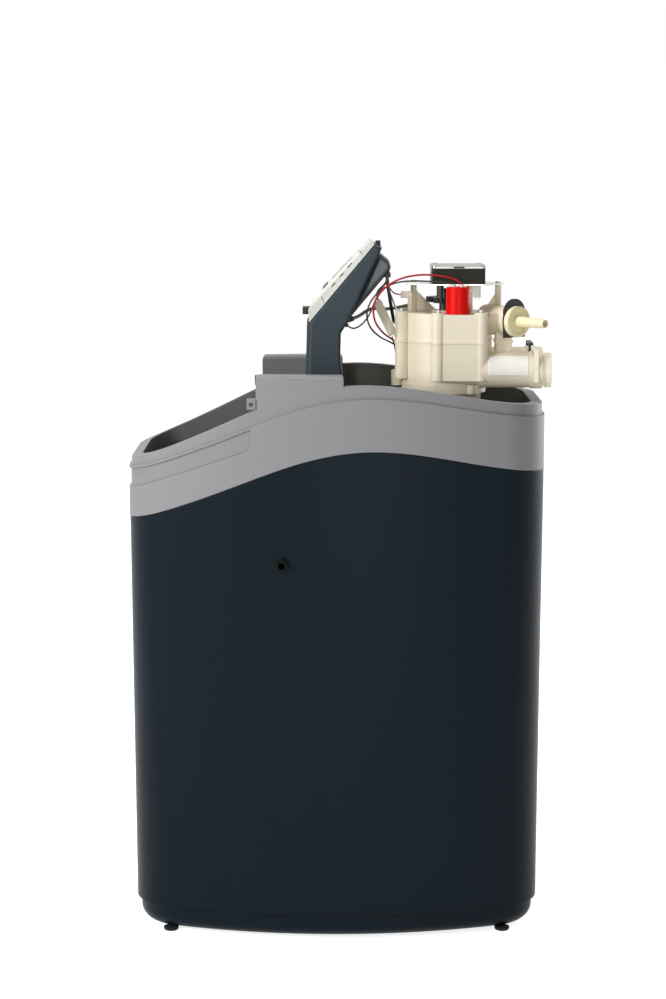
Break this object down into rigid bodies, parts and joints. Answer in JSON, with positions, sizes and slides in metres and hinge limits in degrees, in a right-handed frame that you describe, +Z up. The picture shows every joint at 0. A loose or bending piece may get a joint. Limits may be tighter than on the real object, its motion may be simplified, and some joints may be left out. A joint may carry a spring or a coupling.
{
  "type": "water softener",
  "caption": "Cabinet water softener with its covers off: salt cabinet, resin tank, motor-driven disc valve and slanted control head.",
  "frame": {"origin": "centre of the footprint on the floor", "axes": "+Z up, +X from the salt side to the pipe side, +Y from the near side to the far side"},
  "size_m": [0.5035, 0.3259, 0.8254],
  "materials": {
    "cabinet": "fine-grained moulded plastic",
    "foot_rubber": "matt rubber",
    "frame": "satin moulded plastic",
    "well_white": "satin moulded plastic",
    "resin_shell": "wound glass-fibre shell",
    "boot": "matt moulded plastic",
    "basket": "matt moulded plastic",
    "resin": "bed of small beads",
    "line": "flexible tube",
    "outlet_black": "matt moulded plastic",
    "valve_beige": "satin moulded plastic",
    "clip_black": "matt moulded plastic",
    "screw_steel": "bright plated steel",
    "drain_beige": "satin moulded plastic",
    "cap_red": "glossy moulded plastic",
    "crimp_white": "insulated crimps",
    "disc_ceramic": "lapped ceramic-filled disc",
    "gear_black": "matt moulded plastic",
    "plate_light": "plated sheet metal",
    "motor_dark": "matt moulded plastic",
    "motor_silver": "plated sheet metal",
    "switch_clear": "translucent moulded plastic",
    "plug_beige": "moulded nylon",
    "turbine_white": "moulded plastic",
    "head_grey": "fine-grained moulded plastic",
    "strip_grey": "satin moulded plastic",
    "fascia_white": "satin moulded plastic",
    "lens": "clear smoked window",
    "board": "printed circuit board",
    "key_grey": "soft-touch key",
    "gland_black": "matt rubber",
    "lead_red": "insulated wire",
    "lead_black": "insulated wire",
    "lead_brown": "insulated wire",
    "cable_grey": "sheathed cable"
  },
  "bodies": {
    "softener": {"brine_elbow": "valve_beige", "brine_line": "line", "brine_valve": "well_white", "brine_well": "well_white", "brine_well_cap": "well_white", "cabinet_tank": "cabinet", "cable_glands": "gland_black", "cell_cap": "cap_red", "cell_terminals": "crimp_white", "cell_wire_black": "lead_black", "cell_wire_red": "lead_red", "circuit_board": "board", "column_lead": "lead_brown", "column_strip": "strip_grey", "control_housing": "head_grey", "cover_catches": "clip_black", "display_bezel": "fascia_white", "display_cover": "fascia_white", "display_lens": "lens", "drain_fitting": "drain_beige", "drain_plate": "clip_black", "earth_lead": "lead_black", "far_port_clip": "clip_black", "fixed_disc": "disc_ceramic", "flat_cable": "cable_grey", "gear_motor": "motor_dark", "harness_black": "lead_black", "harness_red": "lead_red", "inline_connector": "plug_beige", "motor_can": "motor_silver", "motor_lead": "lead_black", "motor_plate": "plate_light", "near_port_clip": "valve_beige", "neck_ring": "valve_beige", "overflow_nut": "outlet_black", "overflow_outlet": "outlet_black", "port_tails": "valve_beige", "position_switch": "switch_clear", "rear_module": "head_grey", "resin_bed": "resin", "resin_distributor": "basket", "resin_tank": "resin_shell", "rubber_feet": "foot_rubber", "sensor_lead": "lead_red", "sensor_plug": "plug_beige", "tank_boot": "boot", "top_frame": "frame", "turbine_cage": "turbine_white", "valve_body": "valve_beige", "valve_cover": "valve_beige", "valve_screws": "screw_steel"},
    "spindle_train": {"spindle": "gear_black", "drive_gear": "gear_black", "rotor_disc": "disc_ceramic"},
    "pinion": {"motor_pinion": "gear_black"},
    "meter_rotor": {"turbine_rotor": "turbine_white"},
    "float": {"brine_float": "well_white"},
    "near_key": {"near_key": "key_grey"},
    "middle_key": {"middle_key": "key_grey"},
    "far_key": {"far_key": "key_grey"}
  },
  "joints": [
    {"name": "spindle_turn", "type": "hinge", "parent": "softener", "child": "spindle_train", "pos_m": [0.126, 0, 0.755], "axis": [0, 0, 1], "continuous": true},
    {"name": "pinion_turn", "type": "hinge", "parent": "softener", "child": "pinion", "pos_m": [0.12, -0.02771, 0.755], "axis": [0, 0, 1], "continuous": true},
    {"name": "meter_turn", "type": "hinge", "parent": "softener", "child": "meter_rotor", "pos_m": [0.22, -0.04, 0.673], "axis": [1, 0, 0], "continuous": true},
    {"name": "float_rise", "type": "slide", "parent": "softener", "child": "float", "axis": [0, 0, 1], "range_m": [0, 0.03]},
    {"name": "near_key_press", "type": "slide", "parent": "softener", "child": "near_key", "axis": [0.7245, 0, -0.6893], "range_m": [0, 0.0008], "stiffness_N_per_m": 400, "springref_m": -0.001},
    {"name": "middle_key_press", "type": "slide", "parent": "softener", "child": "middle_key", "axis": [0.7245, 0, -0.6893], "range_m": [0, 0.0008], "stiffness_N_per_m": 400, "springref_m": -0.001},
    {"name": "far_key_press", "type": "slide", "parent": "softener", "child": "far_key", "axis": [0.7245, 0, -0.6893], "range_m": [0, 0.0008], "stiffness_N_per_m": 400, "springref_m": -0.001}
  ],
  "couplings": [
    {"joint": "pinion_turn", "follows": "spindle_turn", "ratio": -3}
  ]
}
